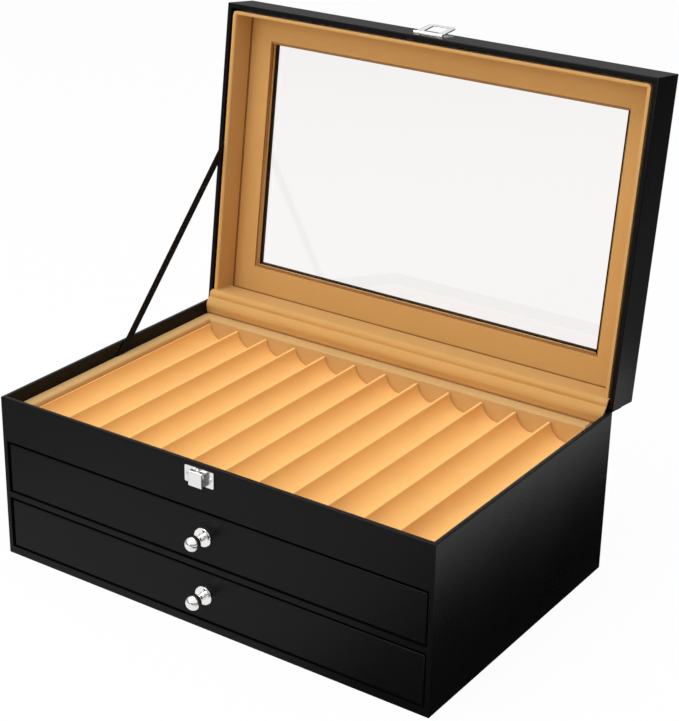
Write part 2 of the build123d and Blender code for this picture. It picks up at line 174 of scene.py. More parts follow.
def napGroup():
    # short pile: fine fibres, and patches that lie in another direction
    tree, given, made = newGroup(
        "pileNap",
        [("Colour", "Color", (0.6, 0.4, 0.2, 1)), ("Fibre Scale", "Float", 2600.0),
         ("Patch Scale", "Float", 45.0), ("Patch Depth", "Float", 0.08),
         ("Fibre Depth", "Float", 0.1)],
        [("Colour", "Color"), ("Roughness", "Float"), ("Height", "Float")])
    place = addNode(tree, "TexCoord").outputs["Object"]
    patches = noiseValue(tree, place, given.outputs["Patch Scale"], 2.0, 0.6)
    fibres = noiseValue(tree, place, given.outputs["Fibre Scale"], 2.0, 0.7)
    patchPart = mathNode(tree, "MULTIPLY", mathNode(tree, "SUBTRACT", patches, 0.5),
                         mathNode(tree, "MULTIPLY", given.outputs["Patch Depth"], 2.0))
    fibrePart = mathNode(tree, "MULTIPLY", mathNode(tree, "SUBTRACT", fibres, 0.5),
                         mathNode(tree, "MULTIPLY", given.outputs["Fibre Depth"], 2.0))
    factor = mathNode(tree, "ADD", mathNode(tree, "ADD", patchPart, fibrePart), 1.0)
    tree.links.new(shaded(tree, given.outputs["Colour"], factor), made.inputs["Colour"])
    tree.links.new(mapRange(tree, patches, 0.8, 0.95), made.inputs["Roughness"])
    tree.links.new(mathNode(tree, "MULTIPLY_ADD", patches, 0.5, fibres), made.inputs["Height"])
    return tree


def platingGroup():
    # plated metal: faint clouding and fine buffing marks
    tree, given, made = newGroup(
        "platingMarks",
        [("Roughness", "Float", 0.15), ("Cloud Scale", "Float", 300.0), ("Change", "Float", 0.08)],
        [("Roughness", "Float"), ("Height", "Float")])
    place = addNode(tree, "TexCoord").outputs["Object"]
    clouds = noiseValue(tree, place, given.outputs["Cloud Scale"], 4.0, 0.6)
    markScale = mathNode(tree, "MULTIPLY", given.outputs["Cloud Scale"], 6.0)
    marks = noiseValue(tree, place, markScale, 2.0)
    centred = mathNode(tree, "SUBTRACT", clouds, 0.5)
    change = mathNode(tree, "MULTIPLY", centred, given.outputs["Change"])
    roughness = mathNode(tree, "ADD", given.outputs["Roughness"], change)
    tree.links.new(roughness, made.inputs["Roughness"])
    tree.links.new(marks, made.inputs["Height"])
    return tree


def weaveGroup():
    # ribbon: fine ribs across its length
    tree, given, made = newGroup(
        "ribbonWeave",
        [("Colour", "Color", (0.01, 0.01, 0.01, 1)), ("Rib Scale", "Float", 380.0)],
        [("Colour", "Color"), ("Height", "Float")])
    place = addNode(tree, "TexCoord").outputs["UV"]
    ribs = addNode(tree, "TexWave", bands_direction="Y", Distortion=0.6)
    ribs.inputs["Detail"].default_value = 1.0
    tree.links.new(place, ribs.inputs["Vector"])
    tree.links.new(given.outputs["Rib Scale"], ribs.inputs["Scale"])
    tone = mapRange(tree, ribs.outputs["Fac"], 0.6, 1.4)
    tree.links.new(shaded(tree, given.outputs["Colour"], tone), made.inputs["Colour"])
    tree.links.new(ribs.outputs["Fac"], made.inputs["Height"])
    return tree


groups = {"leather": leatherGrainGroup(), "nap": napGroup(), "plating": platingGroup(),
          "weave": weaveGroup()}


def newMaterial(name, group, values, bumpHeight, **shaderValues):
    material = bpy.data.materials.new(name)
    material.use_nodes = True
    tree = material.node_tree
    shader = tree.nodes["Principled BSDF"]
    for key, value in shaderValues.items():
        shader.inputs[key.replace("_", " ")].default_value = value
    pattern = tree.nodes.new("ShaderNodeGroup")
    pattern.node_tree = groups[group]
    for key, value in values.items():
        pattern.inputs[key].default_value = value
    for label, target in (("Colour", "Base Color"), ("Roughness", "Roughness")):
        if label in pattern.outputs:
            tree.links.new(pattern.outputs[label], shader.inputs[target])
    bump = tree.nodes.new("ShaderNodeBump")
    bump.inputs["Strength"].default_value = 1.0
    bump.inputs["Distance"].default_value = bumpHeight * 0.001
    tree.links.new(pattern.outputs["Height"], bump.inputs["Height"])
    tree.links.new(bump.outputs["Normal"], shader.inputs["Normal"])
    return material


def glassMaterial(name):
    material = bpy.data.materials.new(name)
    material.use_nodes = True
    tree = material.node_tree
    shader = tree.nodes["Principled BSDF"]
    for key, value in (("Base Color", (0.955, 0.932, 0.927, 1)), ("Roughness", 0.0), ("IOR", 1.45),
                       ("Transmission Weight", 1.0), ("Specular IOR Level", 0.3)):
        shader.inputs[key].default_value = value
    return material


def cloth(name, colour, fibreScale, patchScale, patchDepth, fibreDepth, bumpHeight, **shine):
    return newMaterial(name, "nap", {"Colour": (*colour, 1), "Fibre Scale": fibreScale,
                                     "Patch Scale": patchScale, "Patch Depth": patchDepth,
                                     "Fibre Depth": fibreDepth}, bumpHeight, **shine)


def metal(name, colour, roughness, cloudScale, change, bumpHeight):
    return newMaterial(name, "plating", {"Roughness": roughness, "Cloud Scale": cloudScale,
                                         "Change": change}, bumpHeight,
                       Base_Color=(*colour, 1), Metallic=1.0)


pile = {"Sheen_Weight": 0.12, "Sheen_Roughness": 0.4, "Specular_IOR_Level": 0.15}
materials = {
    "leather": newMaterial("blackLeather", "leather",
                           {"Colour": (0.0045, 0.0039, 0.0041, 1), "Grain Scale": 1100.0,
                            "Roughness": 0.34, "Tone Change": 0.12}, 0.03,
                           Specular_IOR_Level=0.1),
    "velvet": cloth("trayVelvet", (0.90, 0.53, 0.185), 2600.0, 38.0, 0.05, 0.08, 0.03, **pile),
    # a darker copy of the tray's velvet: painted shade for the ledges
    "ledge": cloth("ledgeVelvetPaintedShade", (0.60, 0.375, 0.15), 2600.0, 38.0, 0.05, 0.07, 0.03, **pile),
    "suede": cloth("tanSuede", (0.60, 0.335, 0.11), 3000.0, 30.0, 0.04, 0.05, 0.02, **pile),
    # a darker copy of the lid suede, painted shade for the crease between liner and board
    "creaseShade": cloth("creaseShadeSuede", (0.25, 0.125, 0.035), 3000.0, 30.0, 0.04, 0.05, 0.02,
                  Specular_IOR_Level=0.1),
    "paper": cloth("blackPaper", (0.0075, 0.007, 0.007), 1500.0, 60.0, 0.15, 0.2, 0.02,
                   Specular_IOR_Level=0.12),
    "nickel": metal("satinNickel", (0.86, 0.85, 0.84), 0.2, 260.0, 0.12, 0.002),
    "polished": metal("polishedNickel", (0.88, 0.87, 0.85), 0.07, 220.0, 0.05, 0.0005),
    "screw": metal("screwSteel", (0.70, 0.69, 0.67), 0.25, 500.0, 0.2, 0.003),
    "ribbon": newMaterial("blackRibbon", "weave",
                          {"Colour": (0.006, 0.006, 0.0065, 1), "Rib Scale": 330.0}, 0.06,
                          Roughness=0.7, Specular_IOR_Level=0.08),
    "glass": glassMaterial("clearGlass"),
}
print("materials made:", len(materials))

hinge = {"y": 104.5, "z": 111.0, "openAngle": 97.0}


def nodeBox(name):
    low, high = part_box(name)
    return low * 1000, high * 1000


def dressNode(name, look):
    # a CAD node that keeps its own shape
    nodes[name].data.materials.clear()
    nodes[name].data.materials.append(materials[look])


def turnVerts(bm, verts, degrees, axis, centre=(0, 0, 0)):
    bmesh.ops.rotate(bm, verts=verts, cent=centre,
                     matrix=Matrix.Rotation(math.radians(degrees), 3, axis))


def finishPiece(bm, name, body, look, replaces=(), lid=False, smoothAngle=40):
    # pieces of the lid are made as on a shut lid and then swung open
    if lid:
        turnVerts(bm, bm.verts, -hinge["openAngle"], "X", (0, hinge["y"], hinge["z"]))
    bmesh.ops.scale(bm, vec=(0.001, 0.001, 0.001), verts=bm.verts)
    bmesh.ops.recalc_face_normals(bm, faces=bm.faces)
    mesh = bpy.data.meshes.new(name)
    bm.to_mesh(mesh)
    bm.free()
    for face in mesh.polygons:
        face.use_smooth = True
    mesh.set_sharp_from_angle(angle=math.radians(smoothAngle))
    piece = bpy.data.objects.new(name, mesh)
    bpy.context.scene.collection.objects.link(piece)
    mesh.materials.append(materials[look])
    piece.modifiers.new("evenNormals", "WEIGHTED_NORMAL").keep_sharp = True
    if body:
        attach(piece, body)
    if replaces:
        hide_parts(*replaces)
    return piece


def addBlock(bm, low, high):
    made = bmesh.ops.create_cube(bm, size=1)["verts"]
    size = [b - a for a, b in zip(low, high)]
    middle = [(a + b) / 2 for a, b in zip(low, high)]
    bmesh.ops.scale(bm, vec=size, verts=made)
    bmesh.ops.translate(bm, vec=middle, verts=made)
    return made


def bevelEdges(bm, edges, width, segments=3):
    bmesh.ops.bevel(bm, geom=list(edges), offset=width, offset_type="OFFSET", affect="EDGES",
                    segments=segments, profile=0.5, material=-1, clamp_overlap=True)


def edgesWhere(bm, test):
    return [edge for edge in bm.edges if all(test(vert.co) for vert in edge.verts)]


def near(a, b):
    return abs(a - b) < 0.02


def isSharp(edge):
    return edge.calc_face_angle(0) > 1.2


def vertsOf(items):
    return [item for item in items if isinstance(item, bmesh.types.BMVert)]


def cutPlanes(bm, cuts):
    # slices the whole mesh at the given places, as (axis index, place) rows
    for axis, place in cuts:
        normal = [0, 0, 0]
        normal[axis] = 1
        bmesh.ops.bisect_plane(bm, geom=bm.verts[:] + bm.edges[:] + bm.faces[:], dist=0.0001,
                               plane_co=[place * n for n in normal], plane_no=normal)


def pushFaces(bm, test, move):
    # extrudes the faces whose middles pass the test
    faces = [face for face in bm.faces if test(face.calc_center_median(), face.normal)]
    made = bmesh.ops.extrude_face_region(bm, geom=faces)["geom"]
    bmesh.ops.delete(bm, geom=faces, context="FACES")
    bmesh.ops.translate(bm, vec=move, verts=vertsOf(made))


def cutOpening(bm, through, acrossRange, otherRange, joinFaces=True):
    # a rectangular hole with its walls: through is 1 or 2, for a hole along Y or along Z
    other = 3 - through
    cutPlanes(bm, [(0, place) for place in acrossRange] + [(other, place) for place in otherRange])

    def inside(face):
        middle = face.calc_center_median()
        return (abs(face.normal[through]) > 0.9 and acrossRange[0] < middle.x < acrossRange[1]
                and otherRange[0] < middle[other] < otherRange[1])
    bmesh.ops.delete(bm, geom=[face for face in bm.faces if inside(face)], context="FACES_ONLY")
    bmesh.ops.bridge_loops(bm, edges=[edge for edge in bm.edges if edge.is_boundary])
    if joinFaces:
        bmesh.ops.dissolve_limit(bm, angle_limit=0.01, verts=bm.verts, edges=bm.edges)


def drawAcross(outline, halfX):
    # a solid from -halfX to halfX, with the outline in Y and Z
    bm = bmesh.new()
    chain = [bm.verts.new(place) for place in outline]
    edges = [bm.edges.new(pair) for pair in zip(chain, chain[1:] + chain[:1])]
    face = bmesh.ops.contextual_create(bm, geom=edges)["faces"]
    bmesh.ops.translate(bm, vec=(-halfX, 0, 0), verts=bm.verts)
    drawn = bmesh.ops.extrude_face_region(bm, geom=face)["geom"]
    bmesh.ops.translate(bm, vec=(2 * halfX, 0, 0), verts=vertsOf(drawn))
    return bm


case = {"width": 320.0, "depth": 209.0, "height": 111.0, "wall": 3.2, "base": 5.3, "bay": 36.0,
        "divider": 3.7, "well": 30.0, "outerRound": 0.8, "rimRound": 1.0, "bayRound": 0.5}
halfWidth, halfDepth = case["width"] / 2, case["depth"] / 2
lowerBay = (case["base"], case["base"] + case["bay"])
upperBay = (lowerBay[1] + case["divider"], lowerBay[1] + case["divider"] + case["bay"])


def caseShell():
    bm = bmesh.new()
    addBlock(bm, (-halfWidth, -halfDepth, 0), (halfWidth, halfDepth, case["height"]))
    inX, inY = halfWidth - case["wall"], halfDepth - case["wall"]
    # top compartment
    cutPlanes(bm, [(0, -inX), (0, inX), (1, -inY), (1, inY)])
    pushFaces(bm, lambda c, n: n.z > 0.9 and c.z > case["height"] - 0.1 and abs(c.x) < inX
              and abs(c.y) < inY, (0, 0, -case["well"]))
    # drawer bays
    cutPlanes(bm, [(2, z) for z in (*lowerBay, *upperBay)])

    def inBay(c, n):
        return (n.y < -0.9 and c.y < -halfDepth + 0.1 and abs(c.x) < inX
                and (lowerBay[0] < c.z < lowerBay[1] or upperBay[0] < c.z < upperBay[1]))
    pushFaces(bm, inBay, (0, case["depth"] - case["wall"], 0))
    bmesh.ops.dissolve_limit(bm, angle_limit=0.01, verts=bm.verts, edges=bm.edges)
    rim = edgesWhere(bm, lambda c: near(c.z, case["height"]))
    bevelEdges(bm, rim, case["rimRound"], 4)
    upright = edgesWhere(bm, lambda c: near(abs(c.x), halfWidth) and near(abs(c.y), halfDepth))
    foot = edgesWhere(bm, lambda c: near(c.z, 0))
    bevelEdges(bm, set(upright) | set(foot), case["outerRound"], 3)
    mouths = edgesWhere(bm, lambda c: near(c.y, -halfDepth) and abs(c.x) < inX + 0.1
                        and 1 < c.z < upperBay[1] + 0.1)
    bevelEdges(bm, mouths, case["bayRound"], 3)
    return finishPiece(bm, "caseShell", "case", "leather",
                       ("base_panel", "side_panel_left", "side_panel_right", "back_panel",
                        "front_fascia", "drawer_divider"))


caseShell()
dressNode("tray_floor", "paper")
print("case shell made")


def troughInsert(name, body, node, land):
    # each trough is an arc spun from one crest to the next, then drawn out front to back
    # between the lands at its two ends
    low, high = nodeBox(node)
    pitch, flat, deep = trough["pitch"], trough["crest"], trough["depth"]
    half = (pitch - flat) / 2
    radius = (half ** 2 + deep ** 2) / (2 * deep)
    middleZ = high.z - deep + radius
    sweep = 2 * math.acos(max(-1.0, min(1.0, (radius - deep) / radius)))
    bm = bmesh.new()
    firstX = -(trough["count"] - 1) / 2 * pitch
    last = bm.verts.new((low.x, low.y, high.z))
    for index in range(trough["count"]):
        x = firstX + index * pitch
        start = bm.verts.new((x - half, low.y, high.z))
        bm.edges.new((last, start))
        spun = bmesh.ops.spin(bm, geom=[start], cent=(x, low.y, middleZ), axis=(0, -1, 0),
                              angle=sweep, steps=trough["steps"])["geom_last"]
        last = vertsOf(spun)[0]
    for place in ((high.x, low.y, high.z), (high.x, low.y, low.z), (low.x, low.y, low.z)):
        corner = bm.verts.new(place)
        bm.edges.new((last, corner))
        last = corner
    bm.verts.ensure_lookup_table()
    bm.edges.new((last, bm.verts[0]))
    bmesh.ops.remove_doubles(bm, verts=bm.verts, dist=0.001)
    face = bmesh.ops.contextual_create(bm, geom=bm.edges[:])["faces"]
    bmesh.ops.translate(bm, vec=(0, land, 0), verts=bm.verts)
    drawn = bmesh.ops.extrude_face_region(bm, geom=face)["geom"]
    bmesh.ops.translate(bm, vec=(0, high.y - low.y - land - land, 0), verts=vertsOf(drawn))
    crests = [edge for edge in bm.edges
              if all(near(vert.co.z, high.z) for vert in edge.verts)
              and abs(edge.verts[0].co.x - edge.verts[1].co.x) < 0.01]
    bevelEdges(bm, crests, trough["crestRound"], 4)
    if land > trough["endGap"]:
        for y0, y1 in ((low.y, low.y + land), (high.y - land, high.y)):
            addBlock(bm, (low.x, y0, low.z), (high.x, y1, high.z))
    return finishPiece(bm, name, body, "velvet", (node,), smoothAngle=35)


trough = {"count": 12, "pitch": 24.7, "crest": 2.1, "depth": 11.1, "steps": 20, "crestRound": 0.95,
          "endGap": 0.25}
troughInsert("trayInsert", "case", "tray_insert", trough["endGap"])


def ledgeStrip(side, axis, innerHigh):
    # its two long top edges are rounded, the one by the troughs more
    low, high = nodeBox("tray_liner_" + side)
    inner, outer = (high[axis], low[axis]) if innerHigh else (low[axis], high[axis])
    bm = bmesh.new()
    addBlock(bm, low, high)
    for place, width in ((inner, ledge["innerRound"]), (outer, ledge["outerRound"])):
        bevelEdges(bm, edgesWhere(bm, lambda c: near(c[axis], place) and near(c.z, high.z)),
                   width, 6)
    return finishPiece(bm, "ledge" + side.title(), "case", "ledge", ("tray_liner_" + side,))


ledge = {"innerRound": 1.6, "outerRound": 0.7}
for row in (("left", 0, True), ("right", 0, False), ("front", 1, True), ("back", 1, False)):
    ledgeStrip(*row)
print("tray made")


def drawer(level):
    body = level + "_drawer"
    low, high = nodeBox(body + "_front")
    high.z -= drawerLook["topReveal"]
    bm = bmesh.new()
    addBlock(bm, low, high)
    bevelEdges(bm, edgesWhere(bm, lambda c: near(c.y, low.y)), drawerLook["frontRound"], 3)
    bevelEdges(bm, edgesWhere(bm, lambda c: near(c.y, high.y)), drawerLook["backRound"], 1)
    finishPiece(bm, level + "DrawerFront", body, "leather", (body + "_front",))
    for part in ("side_left", "side_right", "back", "bottom"):
        node = f"{body}_{part}"
        low, high = nodeBox(node)
        bm = bmesh.new()
        addBlock(bm, low, high)
        bevelEdges(bm, bm.edges[:], drawerLook["boardRound"], 2)
        label = level + "Drawer" + part.title().replace("_", "")
        finishPiece(bm, label, body, "paper", (node,))
    troughInsert(level + "DrawerInsert", body, body + "_insert", drawerLook["land"])
    knob(level)


def spinProfile(bm, rows, centre, steps):
    # rows are (along, radius) places about the Y axis through the centre
    chain = [bm.verts.new((centre[0], centre[1] - along, centre[2] + radius))
             for along, radius in rows]
    geometry = chain + [bm.edges.new(pair) for pair in zip(chain, chain[1:])]
    bmesh.ops.spin(bm, geom=geometry, cent=centre, axis=(0, 1, 0), angle=math.tau, steps=steps,
                   use_merge=True)
    bmesh.ops.remove_doubles(bm, verts=bm.verts, dist=0.0005)


def arcRows(middle, radius, start, end, steps):
    # places on a circle in the turned profile, angles in degrees from the axis
    return [(middle + radius * math.cos(math.radians(start + (end - start) * i / steps)),
             radius * math.sin(math.radians(start + (end - start) * i / steps)))
            for i in range(steps + 1)]


drawerLook = {"topReveal": 0.9, "frontRound": 0.75, "backRound": 0.3, "boardRound": 0.25,
              "land": 6.0}
knobLook = {"flange": 6.15, "flangeThick": 1.5, "flangeRound": 0.45, "neck": 2.3, "neckFlare": 0.7,
            "neckDrop": 0.35, "ball": 5.1, "ballStop": 6, "reach": 10.1, "front": -103.7,
            "bore": 1.6, "boreDeep": 3.8, "steps": 48}


def knob(level):
    # a ball that stops a few degrees before its neck, flared into a flange with a screw bore
    low, high = nodeBox(level + "_knob")
    centre = (0, knobLook["front"], (low.z + high.z) / 2)
    ball, neck, flare = knobLook["ball"], knobLook["neck"], knobLook["neckFlare"]
    thick, flange, edge = knobLook["flangeThick"], knobLook["flange"], knobLook["flangeRound"]
    bore, deep = knobLook["bore"], knobLook["boreDeep"]
    meet = 180 - math.degrees(math.asin(neck / ball))
    rows = arcRows(knobLook["reach"], ball, 0, meet - knobLook["ballStop"], 20)
    rows += [(rows[-1][0] - knobLook["neckDrop"], neck), (thick + flare, neck),
             (thick + flare * 0.35, neck + flare * 0.35), (thick, neck + flare),
             (thick, flange - edge * 2), (thick - edge * 0.3, flange - edge * 0.6),
             (thick - edge, flange), (0, flange), (0, bore), (deep, bore), (deep, 0)]
    rows[0] = (rows[0][0], 0)
    bm = bmesh.new()
    spinProfile(bm, rows, centre, knobLook["steps"])
    finishPiece(bm, level + "Knob", level + "_drawer", "polished", (level + "_knob",),
                smoothAngle=32)
    dressNode(level + "_knob_screw", "screw")


for level in ("upper", "lower"):
    drawer(level)
print("drawers made")

# lid, made shut and swung open

lid = {"top": 139.0, "rim": 111.2, "frame": 2.0, "sight": 26.7, "hingeExtra": 1.4,
       "outerRound": 0.8, "rimRound": 0.8, "sightRound": 0.4}


def lidShell():
    bm = bmesh.new()
    addBlock(bm, (-halfWidth, -halfDepth, lid["rim"]), (halfWidth, halfDepth, lid["top"]))
    inX, inY = halfWidth - case["wall"], halfDepth - case["wall"]
    sightX, sightY = halfWidth - lid["sight"], halfDepth - lid["sight"]
    cutPlanes(bm, [(0, -inX), (0, inX), (1, -inY), (1, inY)])
    pushFaces(bm, lambda c, n: n.z < -0.9 and abs(c.x) < inX and abs(c.y) < inY,
              (0, 0, lid["top"] - lid["frame"] - lid["rim"]))
    cutOpening(bm, 2, (-sightX, sightX), (-sightY, sightY - lid["hingeExtra"]))
    rim = edgesWhere(bm, lambda c: near(c.z, lid["rim"]))
    bevelEdges(bm, rim, lid["rimRound"], 4)
    outer = edgesWhere(bm, lambda c: near(c.z, lid["top"])
                       and (near(abs(c.x), halfWidth) or near(abs(c.y), halfDepth)))
    corner = edgesWhere(bm, lambda c: near(abs(c.x), halfWidth) and near(abs(c.y), halfDepth))
    bevelEdges(bm, set(outer) | set(corner), lid["outerRound"], 3)
    sight = edgesWhere(bm, lambda c: near(c.z, lid["top"]) and abs(c.x) < sightX + 0.1
                       and abs(c.y) < sightY + 0.1)
    bevelEdges(bm, sight, lid["sightRound"], 3)
    return finishPiece(bm, "lidShell", "lid", "leather",
                       ("lid_frame", "lid_wall_left", "lid_wall_right", "lid_wall_front",
                        "lid_wall_back"), lid=True)


lidShell()


def windowBoard():
    # lined board inside the glass: its opening steps down once to a lower lip
    bm = bmesh.new()
    edgeX, edgeY = halfWidth - case["wall"] - 0.05, halfDepth - case["wall"] - 0.05
    openX, openY = halfWidth - lidBoard["margin"], halfDepth - lidBoard["margin"]
    lip, middleZ = lidBoard["lip"], lidBoard["low"] + lidBoard["lipDrop"]
    addBlock(bm, (-edgeX, -edgeY, lidBoard["low"]), (edgeX, edgeY, lidBoard["high"]))
    backY = openY - lid["hingeExtra"]
    cutOpening(bm, 2, (lip - openX, openX - lip), (lip - openY, backY - lip))
    cutPlanes(bm, [(0, -openX), (0, openX), (1, -openY), (1, backY)])
    pushFaces(bm, lambda c, n: n.z < -0.9 and abs(c.x) < openX and -openY < c.y < backY,
              (0, 0, lidBoard["lipDrop"]))
    bmesh.ops.dissolve_limit(bm, angle_limit=0.01, verts=bm.verts, edges=bm.edges)

    def around(c, halfX, lowY, highY):
        return ((near(abs(c.x), halfX) and lowY - 0.02 < c.y < highY + 0.02)
                or ((near(c.y, lowY) or near(c.y, highY)) and abs(c.x) < halfX + 0.02))
    step = edgesWhere(bm, lambda c: near(c.z, lidBoard["low"]) and around(c, openX, -openY, backY))
    bevelEdges(bm, step, lidBoard["step"], 4)
    lipEdge = edgesWhere(bm, lambda c: near(c.z, middleZ)
                         and around(c, openX - lip, lip - openY, backY - lip))
    bevelEdges(bm, lipEdge, lidBoard["lipRound"], 4)
    return finishPiece(bm, "lidBoard", "lid", "suede", ("lid_window_board",), lid=True)


lidBoard = {"low": 131.25, "high": 135.05, "margin": 24.2, "lip": 1.5, "lipDrop": 1.9, "step": 0.6,
            "lipRound": 0.5}
windowBoard()


def lidLiner():
    # one strip round the inside of the lid's walls, with a soft rolled edge
    bm = bmesh.new()
    outerX, outerY = halfWidth - liner["offset"], halfDepth - liner["offset"]
    innerX, innerY = outerX - liner["thick"], outerY - liner["thick"]
    addBlock(bm, (-outerX, -outerY, liner["low"]), (outerX, outerY, liner["high"]))
    cutOpening(bm, 2, (-innerX, innerX), (-innerY, innerY), joinFaces=False)
    for halfX, halfY, radius in ((outerX, outerY, liner["cornerOut"]),
                                 (innerX, innerY, liner["cornerIn"])):
        bevelEdges(bm, edgesWhere(bm, lambda c: near(abs(c.x), halfX) and near(abs(c.y), halfY)),
                   radius, 6)
    for height, radius, segments in ((liner["low"], liner["round"], 6),
                                     (liner["high"], liner["footRound"], 3)):
        rim = [edge for edge in edgesWhere(bm, lambda c: near(c.z, height))
               if any(abs(face.normal.z) < 0.5 for face in edge.link_faces)]
        bevelEdges(bm, rim, radius, segments)
    return finishPiece(bm, "lidLiner", "lid", "suede",
                       ("lid_liner_left", "lid_liner_right", "lid_liner_front", "lid_liner_back"),
                       lid=True, smoothAngle=50)


def lidCreaseShade():
    # dark strip of painted shade in the crease where the liner meets the window board
    bm = bmesh.new()
    innerX = halfWidth - liner["offset"] - liner["thick"]
    innerY = halfDepth - liner["offset"] - liner["thick"]
    grow, wide = creaseShade["hidden"], creaseShade["seen"]
    addBlock(bm, (-innerX - grow, -innerY - grow, liner["high"] - creaseShade["drop"]),
             (innerX + grow, innerY + grow, lidBoard["low"] + creaseShade["sunk"]))
    cutOpening(bm, 2, (wide - innerX, innerX - wide), (wide - innerY, innerY - wide),
               joinFaces=False)
    ridge = [edge for edge in edgesWhere(bm, lambda c: near(c.z, liner["high"] - creaseShade["drop"]))
             if isSharp(edge)]
    bevelEdges(bm, ridge, creaseShade["round"], 3)
    return finishPiece(bm, "lidCreaseShade", "lid", "creaseShade", lid=True, smoothAngle=50)


liner = {"offset": 4.8, "thick": 2.5, "low": 111.6, "high": 130.75, "round": 1.15, "footRound": 0.7,
         "cornerOut": 3.0, "cornerIn": 1.2}
lidLiner()
creaseShade = {"hidden": 1.6, "seen": 0.45, "drop": 0.25, "sunk": 0.1, "round": 0.25}
lidCreaseShade()
dressNode("lid_glass", "glass")
print("lid made")

# linings over the hinge, and the stay ribbon


def smoothPath(points, steps):
    # a curve through the points, as Catmull-Rom stretches
    ends = [2 * points[0] - points[1], *points, 2 * points[-1] - points[-2]]
    path = []
    for a, b, c, d in zip(ends, ends[1:], ends[2:], ends[3:]):
        for index in range(steps):
            t = index / steps
            path.append(0.5 * ((2 * b) + (c - a) * t + (2 * a - 5 * b + 4 * c - d) * t ** 2
                               + (3 * b - a - 3 * c + d) * t ** 3))
    return path + [points[-1]]


def hingeLining():
    # padded strip from the back ledge up over the joint, in soft rolls
    front = smoothPath([Vector((0, *row)) for row in lining["front"]], lining["steps"])
    back = [Vector((0, *row)) for row in lining["back"]]
    halfX = lining["halfWidth"]
    bm = drawAcross(front + back[::-1], halfX)
    for index in range(1, lining["slices"]):
        cutPlanes(bm, [(0, -halfX + 2 * halfX * index / lining["slices"])])
    for vert in bm.verts:
        place = vert.co.copy()
        if abs(place.x) < halfX - 0.01 and place.y < lining["backFace"]:
            wave, fine = (noise.noise(Vector((place.x * acrossScale, place.z * upScale, seed)))
                          for acrossScale, upScale, seed in lining["rolls"])
            fade = min(1.0, (place.z - lining["flatTo"]) / lining["fade"],
                       (lining["flatFrom"] - place.z) / lining["fade"])
            vert.co.y += max(0.0, fade) * (lining["sag"] * wave + lining["pucker"] * fine)
    ends = edgesWhere(bm, lambda c: near(abs(c.x), halfX))
    bevelEdges(bm, ends, lining["endRound"], 3)
    piece = finishPiece(bm, "hingeLining", None, "suede", ("hinge_lining",), smoothAngle=60)
    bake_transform(piece)
    return piece


lining = {"front": [(100.1, 102.33), (98.9, 104.0), (98.75, 105.6), (98.45, 107.2), (98.4, 109.0),
                    (99.1, 111.0), (100.6, 112.8), (101.9, 113.8), (102.2, 114.6), (102.2, 115.7),
                    (102.9, 117.2), (104.4, 118.2), (106.0, 118.45), (107.6, 118.15)],
          "back": [(101.1, 102.33), (101.1, 111.0), (103.3, 114.0), (104.6, 116.4), (105.7, 117.9)],
          "steps": 5, "halfWidth": 156.4, "slices": 64, "backFace": 103.5, "sag": 0.35,
          "pucker": 0.12, "rolls": ((0.018, 0.12, 3.0), (0.07, 0.3, 9.0)), "flatTo": 102.6,
          "flatFrom": 117.4, "fade": 2, "endRound": 0.35}
hingeLining()


def hingeLeather():
    # strip folded into the corner between the case's back and the lid's back wall
    thick, reach = strip["thick"], strip["reach"]
    faceY, faceZ = halfDepth + 0.05, case["height"] - 0.05
    angle = math.radians(90 - hinge["openAngle"])
    along = Vector((0, math.cos(angle), math.sin(angle)))
    below = Vector((0, math.sin(angle), -math.cos(angle)))
    rim = Vector((0, faceY, faceZ))
    under = rim + along * reach + below * thick
    fold = under - along * ((under.y - faceY - thick) / along.y)
    halfX = halfWidth - strip["endGap"]
    bm = drawAcross([(0, faceY, faceZ - reach), rim, rim + along * reach, under, fold,
                     (0, faceY + thick, faceZ - reach)], halfX)
    crease = edgesWhere(bm, lambda c: (c - Vector((c.x, fold.y, fold.z))).length < 0.02)
    bevelEdges(bm, crease, strip["foldRound"], 6)
    steps = [reach * index / strip["slices"] for index in range(1, strip["slices"])]
    cutPlanes(bm, [(1, faceY + step) for step in steps] + [(2, faceZ - step) for step in steps])
    bevelEdges(bm, [edge for edge in bm.edges if isSharp(edge)], strip["edgeRound"], 2)
    piece = finishPiece(bm, "hingeLeather", None, "leather", ("hinge_leather",))
    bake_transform(piece)
    return piece


strip = {"thick": 0.7, "reach": 14.0, "endGap": 0.6, "slices": 6, "foldRound": 0.6,
         "edgeRound": 0.2}
hingeLeather()


def stayRibbon():
    # taut woven strip; its face turns with the lid, so it is sliced along its length
    low = Vector((0, ribbon["lowY"], ribbon["lowZ"]))
    high = Vector((0, ribbon["highY"], ribbon["highZ"]))
    along = (high - low).normalized()
    low, high = low - along * ribbon["tuck"], high + along * ribbon["tuck"]
    length = (high - low).length
    bm = bmesh.new()
    addBlock(bm, (-ribbon["thick"] / 2, -ribbon["width"] / 2, 0),
             (ribbon["thick"] / 2, ribbon["width"] / 2, length))
    cutPlanes(bm, [(2, length * index / ribbon["slices"]) for index in range(1, ribbon["slices"])])
    edges = [edge for edge in bm.edges if abs(edge.verts[0].co.z - edge.verts[1].co.z) > 0.1
             and near(abs(edge.verts[0].co.x), ribbon["thick"] / 2)
             and near(abs(edge.verts[0].co.y), ribbon["width"] / 2)]
    bevelEdges(bm, edges, ribbon["edgeRound"], 3)
    uvLayer = bm.loops.layers.uv.new("ribbonMap")
    for face in bm.faces:
        for loop in face.loops:
            loop[uvLayer].uv = (loop.vert.co.y * 0.001, loop.vert.co.z * 0.001)
    turn = along.to_track_quat("Z", "Y").to_matrix()
    if abs((turn @ Vector((1, 0, 0))).x) < 0.9:
        turn = turn @ Matrix.Rotation(math.radians(90), 3, "Z")
    bmesh.ops.rotate(bm, verts=bm.verts, cent=(0, 0, 0), matrix=turn)
    bmesh.ops.translate(bm, vec=(ribbon["x"], low.y, low.z), verts=bm.verts)
    piece = finishPiece(bm, "stayRibbon", None, "ribbon", ("stay_ribbon",))
    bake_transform(piece)
    return piece


